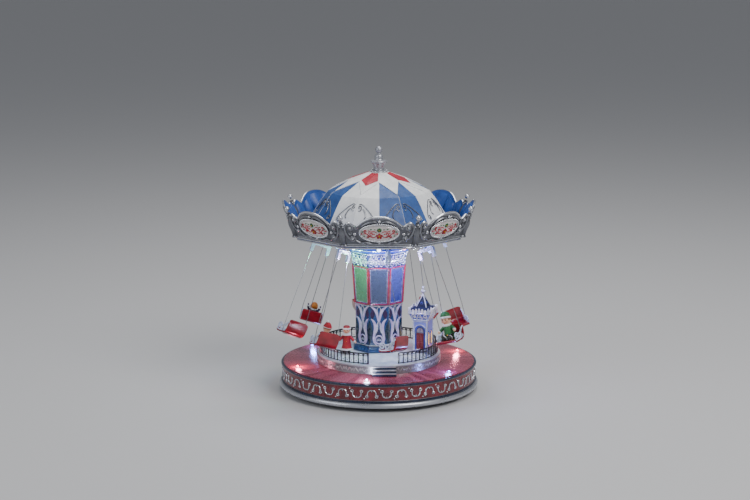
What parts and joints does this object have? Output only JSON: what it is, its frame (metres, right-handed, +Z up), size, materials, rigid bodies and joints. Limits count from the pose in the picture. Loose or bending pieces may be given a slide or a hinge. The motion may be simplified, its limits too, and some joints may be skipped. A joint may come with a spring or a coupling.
{
  "type": "chair swing carousel decoration",
  "caption": "Lit tabletop chair-swing carousel: round base with motor, railed stage and mirrored column, and a turning canopy with hanging chairs and small riders.",
  "frame": {"origin": "centre of the base, on the surface that the rubber feet stand on", "axes": "+Z up along the axis that the canopy turns about; -Y towards the front, where the steps are; +X to the right seen from the front"},
  "size_m": [0.2267, 0.225, 0.2757],
  "materials": {
    "band_paint": "glossy dark red paint",
    "silver_paint": "bright silver lacquer on moulded plastic",
    "black_plastic": "matt black",
    "rubber": "matt black rubber",
    "steel": "plain steel",
    "brass": "plain brass",
    "nylon": "natural nylon",
    "board": "green solder mask",
    "lamp": "clear lamp lens",
    "snow": "white, slightly rough",
    "blue_paint": "satin blue paint",
    "teal_paint": "satin blue-green paint",
    "mirror": "mirror foil",
    "frame_red": "satin red paint",
    "lavender": "satin pale lavender",
    "hanger": "white plastic with steel wires",
    "seat_red": "glossy red",
    "coat_red": "painted figure, red coat",
    "coat_green": "painted figure, green coat"
  },
  "bodies": {
    "root": {"base_housing": "band_paint", "foot_ring": "silver_paint", "bottom_cover": "black_plastic", "rubber_foot_1": "rubber", "rubber_foot_2": "rubber", "rubber_foot_3": "rubber", "rubber_foot_4": "rubber", "drive_plate": "steel", "gear_motor": "steel", "circuit_board": "board", "speaker": "black_plastic", "deck_lamps": "lamp", "switch_body": "black_plastic", "supply_socket": "black_plastic", "lower_bush": "nylon", "upper_bush": "nylon", "stage_platform": "snow", "stage_steps": "silver_paint", "stage_fence": "black_plastic", "castle_tower": "lavender", "castle_roof": "blue_paint", "castle_lamp": "lamp", "standing_child": "coat_red", "column_plinth": "blue_paint", "column_lower": "teal_paint", "mirror_sleeve": "mirror", "mirror_frame": "frame_red", "lace_frieze": "silver_paint", "column_cap": "blue_paint", "column_lamps": "lamp"},
    "carousel": {"main_shaft": "steel", "drive_gear": "nylon", "canopy_floor": "blue_paint", "crown": "silver_paint", "roof_dome": "blue_paint", "finial": "silver_paint"},
    "reduction": {"reduction_gear": "nylon"},
    "rotor": {"motor_pinion": "brass"},
    "switch": {"power_switch": "black_plastic"},
    "door": {"battery_door": "black_plastic"},
    "swing_a": {"hanger_a": "hanger", "seat_a": "seat_red"},
    "swing_b": {"hanger_b": "hanger", "seat_b": "seat_red", "rider_b": "coat_red"},
    "swing_c": {"hanger_c": "hanger", "seat_c": "seat_red", "rider_c": "coat_red"},
    "swing_d": {"hanger_d": "hanger", "seat_d": "seat_red"},
    "swing_e": {"hanger_e": "hanger", "seat_e": "seat_red", "rider_e": "coat_green"},
    "swing_f": {"hanger_f": "hanger", "seat_f": "seat_red"},
    "swing_g": {"hanger_g": "hanger", "seat_g": "seat_red", "rider_g": "coat_red"},
    "swing_h": {"hanger_h": "hanger", "seat_h": "seat_red"}
  },
  "joints": [
    {"name": "carousel_spin", "type": "hinge", "parent": "root", "child": "carousel", "pos_m": [0, 0, 0.1785], "axis": [0, 0, 1], "continuous": true},
    {"name": "reduction_spin", "type": "hinge", "parent": "root", "child": "reduction", "pos_m": [0.039, 0, 0.02], "axis": [0, 0, 1], "continuous": true},
    {"name": "motor_spin", "type": "hinge", "parent": "root", "child": "rotor", "pos_m": [0.039, 0.026, 0.02], "axis": [0, 0, 1], "continuous": true},
    {"name": "swing_a_lean", "type": "hinge", "parent": "carousel", "child": "swing_a", "pos_m": [-0.06033, -0.00902, 0.175], "axis": [-0.1478, 0.989, 0], "range_deg": [0, 15]},
    {"name": "swing_b_lean", "type": "hinge", "parent": "carousel", "child": "swing_b", "pos_m": [-0.04904, 0.03628, 0.175], "axis": [0.5948, 0.8039, 0], "range_deg": [0, 15]},
    {"name": "swing_c_lean", "type": "hinge", "parent": "carousel", "child": "swing_c", "pos_m": [-0.03628, -0.04904, 0.175], "axis": [-0.8039, 0.5948, 0], "range_deg": [0, 15]},
    {"name": "swing_d_lean", "type": "hinge", "parent": "carousel", "child": "swing_d", "pos_m": [0.00902, -0.06033, 0.175], "axis": [-0.989, -0.1478, 0], "range_deg": [0, 15]},
    {"name": "swing_e_lean", "type": "hinge", "parent": "carousel", "child": "swing_e", "pos_m": [0.04904, -0.03628, 0.175], "axis": [-0.5948, -0.8039, 0], "range_deg": [0, 15]},
    {"name": "swing_f_lean", "type": "hinge", "parent": "carousel", "child": "swing_f", "pos_m": [0.06033, 0.00902, 0.175], "axis": [0.1478, -0.989, 0], "range_deg": [0, 15]},
    {"name": "swing_g_lean", "type": "hinge", "parent": "carousel", "child": "swing_g", "pos_m": [0.03628, 0.04904, 0.175], "axis": [0.8039, -0.5948, 0], "range_deg": [0, 15]},
    {"name": "swing_h_lean", "type": "hinge", "parent": "carousel", "child": "swing_h", "pos_m": [-0.00902, 0.06033, 0.175], "axis": [0.989, 0.1478, 0], "range_deg": [0, 15]},
    {"name": "switch_slide", "type": "slide", "parent": "root", "child": "switch", "axis": [-0.9659, -0.2588, 0], "range_m": [0, 0.0045]},
    {"name": "battery_door_slide", "type": "slide", "parent": "root", "child": "door", "axis": [-1, 0, 0], "range_m": [0, 0.05]}
  ],
  "couplings": [
    {"joint": "reduction_spin", "follows": "carousel_spin", "ratio": -3.3333},
    {"joint": "motor_spin", "follows": "carousel_spin", "ratio": 6.2963}
  ]
}
